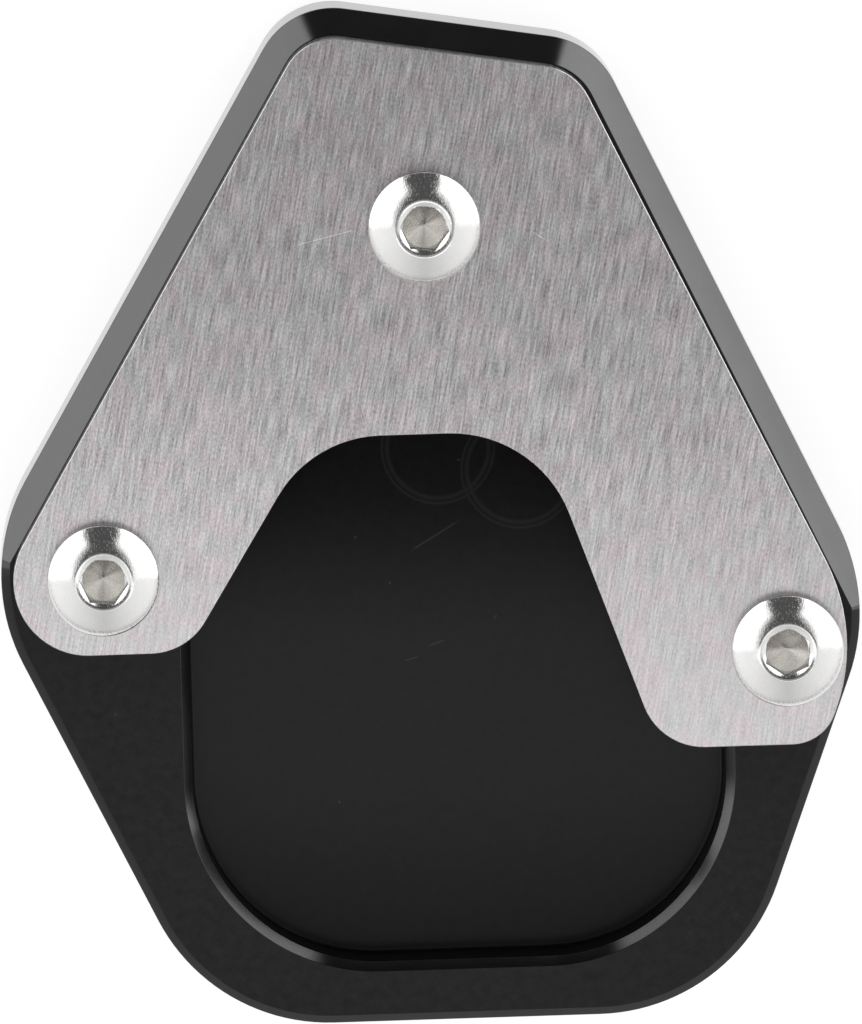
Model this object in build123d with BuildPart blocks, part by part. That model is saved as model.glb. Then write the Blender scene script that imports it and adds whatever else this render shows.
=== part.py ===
from build123d import *

import os
from math import cos, radians, sin, sqrt, tan

# Kickstand foot enlarger: a milled plate with a pocket for the foot of a side stand, and a clamp
# plate that three button head screws hold over the pocket's upper part.
# Millimetres. The origin lies on the ground face, under the middle of the pocket. +Y points to the
# narrow end, +Z up, away from the ground.

# Foot pocket
pocket_width = 49.8
pocket_length = 56.4
pocket_depth = 7.5
pocket_corner_radius = 17.0
pocket_rim_chamfer = 0.9
pocket_floor_fillet = 0.3

# Base plate: its six corners before rounding, measured from the pocket's walls and centre
base_thickness = 10.0
left_margin = 19.8
right_margin = 14.5
bottom_margin = 5.7
top_left_margin = 33.9
top_right_margin = 29.2
left_corner_height = 9.5
right_corner_height = 4.3
left_upper_lean = 31.0
right_upper_lean = 24.8
left_lower_lean = 21.0
right_lower_lean = 14.4

# Base plate: corner rounding and edges
side_corner_radius = 18.0
bottom_corner_radius = 18.0
top_left_radius = 7.5
top_right_radius = 8.0
wide_chamfer = 2.35
wide_chamfer_angle = 45.0
narrow_chamfer = 0.8
ground_chamfer = 0.5

# Clamp plate: how far its edges stay inside the wide chamfer, or inside the base plate's side
plate_thickness = 3.0
plate_left_gap = 0.05
plate_top_gap = 0.05
plate_right_upper_gap = 0.35
plate_right_lower_gap = 0.05
plate_lower_setback = 0.4
plate_edge_break = 0.06

# Clamp plate: the arch over the pocket, and the lobe on each side of it
arch_reach = 6.6
arch_left_inset = 12.0
arch_right_inset = 16.8
arch_left_angle = 58.2
arch_right_angle = 109.4
arch_left_radius = 11.4
arch_right_radius = 11.8
left_lobe_drop = 7.2
right_lobe_drop = 9.0
left_lobe_radius = 7.0
right_lobe_radius = 4.3
lobe_inner_radius = 6.0
shortest_straight = 0.1

# Screw places, as distances from the base plate's sides
top_screw_from_top = 18.7
top_screw_from_left = 20.8
left_screw_from_upper = 10.5
left_screw_from_lower = 10.5
right_screw_from_upper = 9.4
right_screw_from_lower = 6.6

# M6 button head screws and their holes
thread_diameter = 6.0
thread_clearance = 0.05
screw_hole_clearance = 0.3
screw_length = 12.0
screw_point_chamfer = 0.8
thread_mouth_chamfer = 0.5
head_diameter = 10.5
head_height = 3.3
head_rim_height = 1.58
head_rim_fillet = 0.4
socket_width = 4.0
socket_depth = 2.4
socket_mouth_diameter = 5.3
socket_mouth_angle = 30.0
socket_pit_angle = 31.0

# How far each socket is turned, in degrees from +X to a corner of the hexagon
screw_turns = {"top": -6.7, "left": -5.7, "right": 24.8}


def inner_line(side, inset):
    """Start and direction of a side that has been moved inwards, to its left, by its inset."""
    start, end = side
    along = (end - start).normalized()
    return start + Vector(-along.Y, along.X) * inset, along


def crossing(side, inset, other_side, other_inset):
    """Point where two sides cross, once each has been moved inwards by its inset."""
    start, along = inner_line(side, inset)
    other_start, other_along = inner_line(other_side, other_inset)
    reach = (other_start - start).cross(other_along).Z / along.cross(other_along).Z
    return start + along * reach


def slope(point, angle):
    """Side through a point, in a direction given in degrees from +X."""
    return point, point + Vector(cos(radians(angle)), sin(radians(angle)))


def half_angle(corner, before, after):
    """Half of the angle inside a corner, in degrees."""
    return (before - corner).get_angle(after - corner) / 2


# Base plate outline
half_width = pocket_width / 2
half_length = pocket_length / 2
left = Vector(-half_width - left_margin, left_corner_height)
right = Vector(half_width + right_margin, right_corner_height)
top_left = Vector(left.X + left_upper_lean, half_length + top_left_margin)
top_right = Vector(right.X - right_upper_lean, half_length + top_right_margin)
bottom_left = Vector(left.X + left_lower_lean, -half_length - bottom_margin)
bottom_right = Vector(right.X - right_lower_lean, -half_length - bottom_margin)

# Its sides, each with the inside on its left
left_upper_side = (top_left, left)
left_lower_side = (left, bottom_left)
bottom_side = (bottom_left, bottom_right)
right_lower_side = (bottom_right, right)
right_upper_side = (right, top_right)
top_side = (top_right, top_left)

# Screw centres
screw_centres = {
    "top": crossing(top_side, top_screw_from_top, left_upper_side, top_screw_from_left),
    "left": crossing(left_upper_side, left_screw_from_upper, left_lower_side, left_screw_from_lower),
    "right": crossing(right_upper_side, right_screw_from_upper, right_lower_side, right_screw_from_lower),
}

# Prism whose upper edges are the wide chamfers. Its lower corners lie well outside the base plate, so
# that both long chamfers run straight on past the side corners.
run_out = side_corner_radius
wide_chamfer_depth = wide_chamfer / tan(radians(wide_chamfer_angle))
with BuildPart() as upper_chamfers:
    with BuildSketch(Plane.XY.offset(base_thickness - wide_chamfer_depth)):
        with BuildLine():
            FilletPolyline(
                top_left,
                crossing(left_upper_side, 0, bottom_side, -run_out),
                crossing(bottom_side, -run_out, right_upper_side, 0),
                top_right,
                radius=[top_left_radius, 0, 0, top_right_radius],
                close=True,
            )
        make_face()
    extrude(amount=wide_chamfer_depth, taper=wide_chamfer_angle)
    extrude(upper_chamfers.faces().sort_by(Axis.Z)[0], amount=base_thickness - wide_chamfer_depth)

# Base plate
with BuildPart() as base_plate:
    with BuildSketch():
        with BuildLine():
            FilletPolyline(
                top_left,
                left,
                bottom_left,
                bottom_right,
                right,
                top_right,
                radius=[
                    top_left_radius,
                    side_corner_radius,
                    bottom_corner_radius,
                    bottom_corner_radius,
                    side_corner_radius,
                    top_right_radius,
                ],
                close=True,
            )
        make_face()
    extrude(amount=base_thickness)
    chamfer(base_plate.faces().sort_by(Axis.Z)[-1].edges(), narrow_chamfer)
    chamfer(base_plate.faces().sort_by(Axis.Z)[0].edges(), ground_chamfer)
    add(upper_chamfers.part, mode=Mode.INTERSECT)

    with BuildSketch(Plane.XY.offset(base_thickness)):
        RectangleRounded(pocket_width, pocket_length, pocket_corner_radius)
    extrude(amount=-pocket_depth, mode=Mode.SUBTRACT)
    chamfer(base_plate.faces().sort_by(Axis.Z)[-1].inner_wires().edges(), pocket_rim_chamfer)
    pocket_floor = base_plate.faces().filter_by(Axis.Z).sort_by(Axis.Z)[1]
    fillet(pocket_floor.edges(), pocket_floor_fillet)

    with Locations(*[Location((centre.X, centre.Y, base_thickness)) for centre in screw_centres.values()]):
        Hole(thread_diameter / 2)
    threaded_walls = base_plate.faces().filter_by(GeomType.CYLINDER).filter_by(
        lambda face: abs(face.radius - thread_diameter / 2) < thread_clearance
    )
    chamfer(threaded_walls.edges().filter_by(GeomType.CIRCLE), thread_mouth_chamfer)

base_plate.part.label = "base_plate"

# Clamp plate outline, along the inner edges of the wide chamfers and round the arch
plate_left_inset = wide_chamfer + plate_left_gap
plate_top_inset = wide_chamfer + plate_top_gap
plate_right_upper_inset = wide_chamfer + plate_right_upper_gap
plate_right_lower_inset = wide_chamfer + plate_right_lower_gap
arch_top_left = Vector(-half_width + arch_left_inset, half_length - arch_reach)
arch_top_right = Vector(half_width - arch_right_inset, half_length - arch_reach)
arch_left_side = slope(arch_top_left, arch_left_angle)
arch_right_side = slope(arch_top_right, arch_right_angle)
left_lobe_side = slope(screw_centres["left"] - Vector(0, left_lobe_drop), 0)
right_lobe_side = slope(screw_centres["right"] - Vector(0, right_lobe_drop), 0)

plate_top_left = crossing(top_side, plate_top_inset, left_upper_side, plate_left_inset)
left_lobe_outer = crossing(left_upper_side, plate_left_inset, left_lobe_side, 0)
left_lobe_inner = crossing(left_lobe_side, 0, arch_left_side, 0)
right_lobe_inner = crossing(arch_right_side, 0, right_lobe_side, 0)
right_lobe_outer = crossing(right_lobe_side, 0, right_lower_side, plate_lower_setback)
plate_right = crossing(right_lower_side, plate_lower_setback, right_upper_side, plate_right_lower_inset)
plate_top_right = crossing(right_upper_side, plate_right_upper_inset, top_side, plate_top_inset)

# The right lobe's outer corner gets the room that the rounding above it leaves
plate_right_radius = side_corner_radius - plate_lower_setback
right_turn = half_angle(plate_right, right_lobe_outer, plate_top_right)
right_lobe_room = (plate_right - right_lobe_outer).length - plate_right_radius / tan(radians(right_turn))
lobe_turn = half_angle(right_lobe_outer, right_lobe_inner, plate_right)
right_lobe_limit = (right_lobe_room - shortest_straight) * tan(radians(lobe_turn))

# Clamp plate
with BuildPart() as clamp_plate:
    with BuildSketch(Plane.XY.offset(base_thickness)):
        with BuildLine():
            FilletPolyline(
                plate_top_left,
                left_lobe_outer,
                left_lobe_inner,
                arch_top_left,
                arch_top_right,
                right_lobe_inner,
                right_lobe_outer,
                plate_right,
                plate_top_right,
                radius=[
                    top_left_radius - plate_left_inset,
                    left_lobe_radius,
                    lobe_inner_radius,
                    arch_left_radius,
                    arch_right_radius,
                    lobe_inner_radius,
                    min(right_lobe_radius, right_lobe_limit),
                    plate_right_radius,
                    top_right_radius - plate_right_upper_inset,
                ],
                close=True,
            )
        make_face()
    extrude(amount=plate_thickness)
    chamfer(clamp_plate.faces().filter_by(Axis.Z).edges(), plate_edge_break)
    plate_top = base_thickness + plate_thickness
    with Locations(*[Location((centre.X, centre.Y, plate_top)) for centre in screw_centres.values()]):
        Hole(thread_diameter / 2 + screw_hole_clearance)

clamp_plate.part.label = "clamp_plate"

# Button head screws: a turned profile with a conical socket mouth, then the hexagon
head_radius = head_diameter / 2
mouth_radius = socket_mouth_diameter / 2
shank_radius = thread_diameter / 2 - thread_clearance
crown_height = (head_radius**2 + head_rim_height**2 - mouth_radius**2 - head_height**2) / (
    2 * (head_rim_height - head_height)
)
crown_radius = sqrt(mouth_radius**2 + (head_height - crown_height) ** 2)
mouth_depth = mouth_radius * tan(radians(socket_mouth_angle))
pit_radius = socket_width / 2
pit_depth = pit_radius * tan(radians(socket_pit_angle))

screws = []
for place, centre in screw_centres.items():
    turn = radians(screw_turns[place])
    seat = Plane(origin=(centre.X, centre.Y, plate_top), x_dir=(cos(turn), sin(turn), 0), z_dir=(0, 0, 1))
    upright = Plane(origin=seat.origin, x_dir=seat.x_dir, z_dir=-seat.y_dir)
    with BuildPart() as clamp_screw:
        with BuildSketch(upright):
            with BuildLine():
                Polyline(
                    (mouth_radius, head_height),
                    (0, head_height - mouth_depth),
                    (0, -screw_length),
                    (shank_radius - screw_point_chamfer, -screw_length),
                    (shank_radius, screw_point_chamfer - screw_length),
                    (shank_radius, 0),
                    (head_radius, 0),
                    (head_radius, head_rim_height),
                )
                RadiusArc((head_radius, head_rim_height), (mouth_radius, head_height), -crown_radius)
            make_face()
        revolve(axis=Axis(seat.origin, seat.z_dir))
        rim = clamp_screw.edges().filter_by(GeomType.CIRCLE).filter_by(
            lambda edge: abs(edge.radius - head_radius) < thread_clearance
        )
        fillet(rim.sort_by(Axis.Z)[-1], head_rim_fillet)

        with BuildSketch(seat.offset(head_height - socket_depth)):
            RegularPolygon(socket_width / 2, 6, major_radius=False)
        extrude(amount=socket_depth, mode=Mode.SUBTRACT)
        with BuildSketch(upright):
            with BuildLine():
                Polyline(
                    (0, head_height - socket_depth),
                    (pit_radius, head_height - socket_depth),
                    (0, head_height - socket_depth - pit_depth),
                    close=True,
                )
            make_face()
        revolve(axis=Axis(seat.origin, seat.z_dir), mode=Mode.SUBTRACT)
    clamp_screw.part.label = "clamp_screw_" + place
    screws.append(clamp_screw.part)

# One file for each piece
os.makedirs("parts", exist_ok=True)
export_step(base_plate.part, "parts/base_plate.step")
export_step(clamp_plate.part, "parts/clamp_plate.step")
for screw in screws:
    export_step(screw, "parts/" + screw.label + ".step")
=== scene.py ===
"""Kickstand foot enlarger: its dressed pieces, with the floor, the light and the camera.

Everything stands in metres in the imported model's frame: the origin lies on the ground face under the
middle of the foot pocket, +Y points to the narrow end and +Z up. The sizes in the classes are in
millimetres, as on a shop drawing, and MM turns them into metres.
"""

import logging
from collections.abc import Callable, Iterator, Mapping, Sequence
from contextlib import contextmanager
from dataclasses import dataclass, field
from enum import Enum
from functools import reduce
from math import atan2, ceil, copysign, cos, pi, radians, sin, sqrt, tan
from typing import Any, Union

import bmesh
import bpy
from mathutils import Matrix, Vector


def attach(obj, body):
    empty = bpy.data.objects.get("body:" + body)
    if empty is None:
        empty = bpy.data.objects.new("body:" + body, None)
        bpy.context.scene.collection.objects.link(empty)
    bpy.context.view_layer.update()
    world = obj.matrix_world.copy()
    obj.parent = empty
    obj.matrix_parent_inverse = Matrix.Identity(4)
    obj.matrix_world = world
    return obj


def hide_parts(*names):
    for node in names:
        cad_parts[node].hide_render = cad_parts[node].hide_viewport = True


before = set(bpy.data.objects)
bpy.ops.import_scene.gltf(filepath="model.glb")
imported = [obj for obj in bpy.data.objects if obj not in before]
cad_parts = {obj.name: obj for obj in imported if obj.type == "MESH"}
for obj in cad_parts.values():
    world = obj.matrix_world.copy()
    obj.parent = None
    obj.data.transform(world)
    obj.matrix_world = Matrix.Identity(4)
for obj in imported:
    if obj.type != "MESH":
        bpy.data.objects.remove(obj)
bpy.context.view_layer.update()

MM = 0.001
BODY = "root"
WELD = 1e-6
ARC_STEP = radians(3.0)
BLACK = (0.0, 0.0, 0.0)

log = logging.getLogger("foot_enlarger")

Colour = tuple[float, float, float]
Term = Union["Wire", float]
FaceRule = Callable[[Vector, Vector], bool]


# Shader toolkit


class Wire:
    """One socket of a node tree, on which Python's operators add the Math nodes."""

    def __init__(self, recipe: "Recipe", socket: bpy.types.NodeSocket) -> None:
        """Wraps a socket of the recipe's node tree."""
        self.recipe = recipe
        self.socket = socket

    def __add__(self, other: Term) -> "Wire":
        """Sum of this value and another."""
        return self.recipe.maths("ADD", self, other)

    __radd__ = __add__

    def __sub__(self, other: Term) -> "Wire":
        """This value less another."""
        return self.recipe.maths("SUBTRACT", self, other)

    def __rsub__(self, other: Term) -> "Wire":
        """Another value less this one."""
        return self.recipe.maths("SUBTRACT", other, self)

    def __mul__(self, other: Term) -> "Wire":
        """Product of this value and another."""
        return self.recipe.maths("MULTIPLY", self, other)

    __rmul__ = __mul__

    def __truediv__(self, other: Term) -> "Wire":
        """This value divided by another."""
        return self.recipe.maths("DIVIDE", self, other)

    def __rtruediv__(self, other: Term) -> "Wire":
        """Another value divided by this one."""
        return self.recipe.maths("DIVIDE", other, self)

    def __pow__(self, other: Term) -> "Wire":
        """This value raised to a power."""
        return self.recipe.maths("POWER", self, other)

    def __abs__(self) -> "Wire":
        """Size of this value without its sign."""
        return self.recipe.maths("ABSOLUTE", self)


class Recipe:
    """Node tree of one material or of the world, and the few ways in which nodes are added to it."""

    def __init__(self, tree: bpy.types.NodeTree) -> None:
        """Starts with an empty tree."""
        self.tree = tree
        self.tree.nodes.clear()

    def node(
        self,
        kind: str,
        settings: Mapping[str, Any] | None = None,
        sockets: Mapping[int | str, Any] | None = None,
        output: int | str = 0,
    ) -> Wire:
        """Adds one node.

        Args:
            kind: Blender's type name of the node.
            settings: Properties of the node, set before its sockets.
            sockets: Values or wires of its inputs, by name or index.
            output: Name or index of the output that is wanted.

        Returns:
            The wanted output, or the first input of a node that has no outputs.
        """
        made = self.tree.nodes.new(kind)
        for name, value in (settings or {}).items():
            setattr(made, name, value)
        for key, value in (sockets or {}).items():
            if isinstance(value, Wire):
                self.tree.links.new(value.socket, made.inputs[key])
            else:
                made.inputs[key].default_value = value
        return Wire(self, made.outputs[output] if made.outputs else made.inputs[0])

    def maths(self, operation: str, *terms: Term) -> Wire:
        """Adds a Math node on one to three values and returns its result."""
        return self.node("ShaderNodeMath", {"operation": operation}, dict(enumerate(terms)))

    def higher(self, one: Term, other: Term) -> Wire:
        """The higher of two values."""
        return self.maths("MAXIMUM", one, other)

    def ease(self, value: Wire, low: float, high: float) -> Wire:
        """Smooth step of a value, from 0 at low to 1 at high.

        Args:
            value: The value that is followed.
            low: Where the step is still 0.
            high: Where it has reached 1. It may lie below low.

        Returns:
            The step.
        """
        return self.node(
            "ShaderNodeMapRange",
            {"interpolation_type": "SMOOTHSTEP"},
            {"Value": value, "From Min": low, "From Max": high},
        )

    def blend(self, factor: Term, first: Wire | Colour, second: Wire | Colour) -> Wire:
        """Mixes two colours.

        Args:
            factor: 0 for the first colour, 1 for the second.
            first: First colour.
            second: Second colour.

        Returns:
            The mixed colour.
        """
        colours = [tint if isinstance(tint, Wire) else (*tint, 1.0) for tint in (first, second)]
        return self.node(
            "ShaderNodeMix", {"data_type": "RGBA"}, {0: factor, 6: colours[0], 7: colours[1]}, 2
        )

    def place(self) -> Wire:
        """Object coordinates, in metres."""
        return self.node("ShaderNodeTexCoord", output="Object")

    def turned(self, vector: Wire, centre: Sequence[float] = (0, 0, 0), angle: float = 0.0) -> Wire:
        """Coordinates that are centred on a point and turned about Z.

        Args:
            vector: Coordinates in metres.
            centre: The new origin in millimetres.
            angle: Turn of the new axes in degrees, counter-clockwise.

        Returns:
            The new coordinates, in metres.
        """
        return self.node(
            "ShaderNodeMapping",
            {"vector_type": "TEXTURE"},
            {
                "Vector": vector,
                "Location": tuple(value * MM for value in centre),
                "Rotation": (0.0, 0.0, radians(angle)),
            },
        )

    def parts(self, vector: Wire) -> tuple[Wire, Wire, Wire]:
        """The X, Y and Z of a vector."""
        split = self.node("ShaderNodeSeparateXYZ", sockets={0: vector})
        return split, *(Wire(self, split.socket.node.outputs[index]) for index in (1, 2))

    def noise(self, vector: Wire, cell: float | Sequence[float], detail: float, roughness: float) -> Wire:
        """Soft noise around 0.5.

        Args:
            vector: Coordinates in metres.
            cell: Size of its cells in millimetres, the same all round or one along each axis.
            detail: Number of finer layers.
            roughness: Share of each finer layer.

        Returns:
            The noise value.
        """
        cell = cell if isinstance(cell, Sequence) else (cell,) * 3
        scales = tuple(1 / (size * MM) for size in cell)
        cells = self.node("ShaderNodeVectorMath", {"operation": "MULTIPLY"}, {0: vector, 1: scales})
        return self.node(
            "ShaderNodeTexNoise",
            sockets={"Vector": cells, "Scale": 1.0, "Detail": detail, "Roughness": roughness},
        )

    def bump(self, height: Wire, depth: float) -> Wire:
        """Relief of the surface, from a height and the depth in millimetres that a height of 1 has."""
        return self.node(
            "ShaderNodeBump", sockets={"Height": height, "Distance": depth * MM, "Strength": 1.0}
        )

    def surface(self, sockets: Mapping[str, Any]) -> None:
        """Ends the tree with a Principled surface that has these socket values and wires."""
        shader = self.node("ShaderNodeBsdfPrincipled", sockets=sockets)
        self.node("ShaderNodeOutputMaterial", sockets={"Surface": shader})


def new_recipe(name: str) -> tuple[bpy.types.Material, Recipe]:
    """Makes an empty node material.

    Args:
        name: Its name.

    Returns:
        The material, and the recipe that fills it.
    """
    made = bpy.data.materials.new(name)
    made.use_nodes = True
    return made, Recipe(made.node_tree)


# Finishes


class Lay(Enum):
    """Direction of the fine tool marks in a surface."""

    NONE = "none"
    ACROSS = "across"
    UPRIGHT = "upright"
    LEVEL = "level"


@dataclass(frozen=True)
class Scratch:
    """A fine straight mark, from one point to another in millimetres."""

    start: tuple[float, float]
    end: tuple[float, float]
    width: float = 0.12
    full_share: float = 0.6

    def mask(self, recipe: Recipe, place: Wire) -> Wire:
        """How much of the mark lies at a place.

        Args:
            recipe: The recipe that the mark is part of.
            place: Object coordinates.

        Returns:
            1 in the middle of the mark, 0 outside it.
        """
        run = Vector(self.end) - Vector(self.start)
        middle = (Vector(self.start) + Vector(self.end)) / 2
        local = recipe.turned(place, (*middle, 0), atan2(run.y, run.x) * 180 / pi)
        along, across, _ = recipe.parts(local)
        reach = run.length / 2 * MM
        thin = recipe.ease(abs(across), self.width * MM, 0.0)
        return thin * recipe.ease(abs(along), reach, reach * self.full_share)


@dataclass(frozen=True)
class CutterRing:
    """Faint circle that an end mill left where it went down: centre and radius in millimetres."""

    centre: tuple[float, float]
    radius: float
    width: float = 0.35

    def mask(self, recipe: Recipe, place: Wire) -> Wire:
        """How much of the ring lies at a place.

        Args:
            recipe: The recipe that the ring is part of.
            place: Object coordinates.

        Returns:
            1 on the circle, 0 away from it.
        """
        x, y, _ = recipe.parts(recipe.turned(place, (*self.centre, 0)))
        gap = abs((x * x + y * y) ** 0.5 - self.radius * MM)
        return recipe.ease(gap, self.width * MM, 0.0)


@dataclass(frozen=True)
class BlackAnodising:
    """Black anodised aluminium, with the grain that the etch leaves and the lay of the cutter."""

    name: str
    lay: Lay = Lay.NONE
    tone: float = 0.003
    roughness: float = 0.36
    gloss: float = 1.5
    tint: Colour = (1.0, 0.985, 0.99)
    grain: float = 0.16
    grain_depth: float = 0.0006
    mottle: float = 0.9
    cloud: float = 9.0
    unevenness: tuple[float, float, float] = (1.2, 1.2, 0.3)
    lay_width: float = 0.25
    lay_length: float = 40.0
    lay_depth: float = 0.0006
    worn_tone: float = 0.03
    worn_smoothness: float = 0.1

    def material(self) -> bpy.types.Material:
        """Makes the node material.

        Returns:
            The material.
        """
        made, recipe = new_recipe(self.name)
        place = recipe.place()
        speck = recipe.noise(place, self.grain, 3.0, 0.65)
        mottle = recipe.noise(place, self.mottle, 2.0, 0.5)
        cloud = recipe.noise(place, self.cloud, 3.0, 0.6)
        height = self.relief(recipe, place, speck)
        worn = self.worn(recipe, place)
        by_speck, by_mottle, by_cloud = self.unevenness
        even = 1.0 - sum(self.unevenness) / 2
        tone = self.tone * (by_speck * speck + by_mottle * mottle + by_cloud * cloud + even)
        roughness = self.roughness + 0.1 * (speck - 0.5) + 0.06 * (cloud - 0.5)
        recipe.surface(
            {
                "Base Color": recipe.blend(tone + self.worn_tone * worn, BLACK, self.tint),
                "Roughness": roughness - self.worn_smoothness * worn,
                "IOR": self.gloss,
                "Normal": recipe.bump(height, self.grain_depth),
                **self.sheen(recipe, place),
            }
        )
        return made

    def sheen(self, recipe: Recipe, place: Wire) -> dict[str, Any]:
        """Further gloss over the finish: none here."""
        return {}

    def relief(self, recipe: Recipe, place: Wire, speck: Wire) -> Wire:
        """Adds the lay of the cutter to the grain.

        Args:
            recipe: The recipe that the relief is part of.
            place: Object coordinates.
            speck: The grain.

        Returns:
            Height of both together, in grain depths.
        """
        width, length = self.lay_width, self.lay_length
        cell = {
            Lay.ACROSS: (width, length, width),
            Lay.UPRIGHT: (width, width, length),
            Lay.LEVEL: (length, length, width),
        }.get(self.lay)
        if cell is None:
            return speck
        return speck + recipe.noise(place, cell, 2.0, 0.6) * (self.lay_depth / self.grain_depth)

    def worn(self, recipe: Recipe, place: Wire) -> Wire:
        """Small light specks where the finish is worn by rubbing."""
        return recipe.ease(recipe.noise(place, self.mottle, 2.0, 0.7), 0.74, 0.82)


@dataclass(frozen=True)
class PocketAnodising(BlackAnodising):
    """The pocket's floor: cutter's rings, scratches, and a painted sheen that is glossier a little below
    the middle than at the ends.
    """

    rings: tuple[CutterRing, ...] = (
        CutterRing((-1.0, 19.2), 4.75),
        CutterRing((-1.0, 19.2), 5.25, 0.22),
        CutterRing((6.6, 16.9), 4.95),
        CutterRing((6.6, 16.9), 5.45, 0.22),
    )
    scratches: tuple[Scratch, ...] = (
        Scratch((-4.1, 9.4), (1.0, 12.4), 0.16),
        Scratch((-2.6, 0.5), (-0.7, 1.1), 0.14),
        Scratch((-4.8, -0.8), (-3.3, -0.4), 0.12),
        Scratch((3.7, 2.9), (4.1, 3.3), 0.16),
    )
    specks: tuple[tuple[float, float], ...] = ((-8.96, 11.02), (-5.87, 6.6), (0.9, 18.0), (-11.2, -13.9))
    speck_radius: float = 0.16
    speck_core: float = 0.05
    ring_depth: float = 1.6
    ring_shine: float = 0.35
    scratch_depth: float = 3.0
    scratch_shine: float = 0.7
    # Painted sheen: coat gloss over the floor's middle, standing in for its light and shade.
    painted_sheen_gloss: float = 0.29
    painted_sheen_roughness: float = 0.18
    painted_sheen_north: tuple[float, float] = (20.0, 0.0)
    painted_sheen_south: tuple[float, float] = (-29.0, -9.0)

    def sheen(self, recipe: Recipe, place: Wire) -> dict[str, Any]:
        """Painted sheen: coat gloss, strongest a little below the pocket's middle, half as strong at the
        south end and none at the north end, so the floor looks darker where the clamp plate shades it.

        Args:
            recipe: The recipe that the gloss is part of.
            place: Object coordinates.

        Returns:
            The surface's coat sockets.
        """
        north = recipe.parts(place)[1]
        limits = (self.painted_sheen_north, self.painted_sheen_south)
        upper, lower = (recipe.ease(north, low * MM, high * MM) for low, high in limits)
        # Painted sheen: the coat's gloss follows the pocket's length, standing in for the light and shade
        # there.
        painted_sheen = self.painted_sheen_gloss * upper * (0.5 + 0.5 * lower)
        return {"Coat Weight": painted_sheen, "Coat Roughness": self.painted_sheen_roughness}

    def relief(self, recipe: Recipe, place: Wire, speck: Wire) -> Wire:
        """Adds the rings and the scratches to the grain.

        Args:
            recipe: The recipe that the relief is part of.
            place: Object coordinates.
            speck: The grain.

        Returns:
            Height of all together, in grain depths.
        """
        height = super().relief(recipe, place, speck)
        for marks, depth in ((self.rings, self.ring_depth), (self.scratches, self.scratch_depth)):
            for mark in marks:
                height = height - mark.mask(recipe, place) * depth
        return height

    def worn(self, recipe: Recipe, place: Wire) -> Wire:
        """Rings, scratches and specks, which shine a little lighter than the floor.

        Args:
            recipe: The recipe that the marks are part of.
            place: Object coordinates.

        Returns:
            0 on the plain floor, up to 1 in a speck.
        """
        masks = [ring.mask(recipe, place) * self.ring_shine for ring in self.rings]
        masks += [scratch.mask(recipe, place) * self.scratch_shine for scratch in self.scratches]
        for spot in self.specks:
            x, y, _ = recipe.parts(recipe.turned(place, (*spot, 0)))
            distance = (x * x + y * y) ** 0.5
            masks.append(recipe.ease(distance, self.speck_radius * MM, self.speck_core * MM))
        return reduce(recipe.higher, masks)


@dataclass(frozen=True)
class BrushedSteel:
    """Brushed stainless sheet: short strokes that lean a little to the right of +Y."""

    name: str
    lean: float = -12.0
    reflectance: float = 0.595
    warm: Colour = (1.0, 0.918, 0.944)
    cool: Colour = (0.95, 0.942, 0.949)
    roughness: float = 0.31
    stroke_width: float = 0.18
    stroke_length: float = 2.9
    stroke_depth: float = 0.005
    tint_cell: tuple[float, float, float] = (1.9, 2.5, 3.0)
    # Painted light: the strokes fade towards the south, where the soft box's reflection is brightest.
    painted_glare_share: float = 0.45
    painted_glare_from: float = 22.0
    painted_glare_to: float = -4.0
    scratches: tuple[Scratch, ...] = (
        Scratch((7.8, 40.5), (9.5, 39.4), 0.1),
        Scratch((-14.6, 39.5), (-7.7, 41.1), 0.1),
        Scratch((-40.5, 12.1), (-39.9, 12.5), 0.3),
    )

    def material(self) -> bpy.types.Material:
        """Makes the node material.

        Returns:
            The material.
        """
        made, recipe = new_recipe(self.name)
        place = recipe.place()
        along = recipe.turned(place, angle=self.lean)
        width, length = self.stroke_width, self.stroke_length
        fine = recipe.noise(along, (width, length, 1.0), 1.0, 0.4) - 0.5
        short = recipe.noise(along, (width * 0.8, width * 1.7, 1.0), 1.0, 0.5) - 0.5
        broad = recipe.noise(along, (width * 4, length * 2.5, 1.0), 2.0, 0.55) - 0.5
        tint = recipe.ease(recipe.noise(along, self.tint_cell, 2.0, 0.5), 0.38, 0.62)
        marks = reduce(recipe.higher, (scratch.mask(recipe, place) for scratch in self.scratches))
        # Painted light: the strokes' colour is made fainter towards the south, where the soft box's broad
        # reflection is brightest; their relief fades with it.
        north = recipe.parts(place)[1]
        depth = 1.0 - self.painted_glare_share * recipe.ease(north, self.painted_glare_from * MM, self.painted_glare_to * MM)
        strokes = (1.15 * fine + short) * depth + 0.4 * broad
        shade = self.reflectance * (1.0 + strokes + 0.25 * marks)
        height = (fine + 0.5 * short) * depth + 0.7 * broad - 1.2 * marks
        recipe.surface(
            {
                "Base Color": recipe.blend(shade, BLACK, recipe.blend(tint, self.cool, self.warm)),
                "Metallic": 1.0,
                "Roughness": self.roughness + 0.16 * broad + 0.12 * fine,
                "Normal": recipe.bump(height, self.stroke_depth),
            }
        )
        return made


@dataclass(frozen=True)
class CutSteel:
    """Edge of the sheet: striations of the cut, or the bright line where it was deburred."""

    name: str
    lay: Lay
    reflectance: float = 0.6
    roughness: float = 0.35
    line_width: float = 0.22
    line_length: float = 6.0
    depth: float = 0.006

    def material(self) -> bpy.types.Material:
        """Makes the node material.

        Returns:
            The material.
        """
        made, recipe = new_recipe(self.name)
        place = recipe.place()
        height = self.line_length if self.lay is Lay.UPRIGHT else self.line_width
        lines = recipe.noise(place, (self.line_width, self.line_width, height), 3.0, 0.6)
        colour = recipe.blend(0.75 + 0.5 * lines, BLACK, (self.reflectance,) * 3)
        recipe.surface(
            {
                "Base Color": colour,
                "Metallic": 1.0,
                "Roughness": self.roughness + 0.2 * (lines - 0.5),
                "Normal": recipe.bump(lines, self.depth),
            }
        )
        return made


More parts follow.
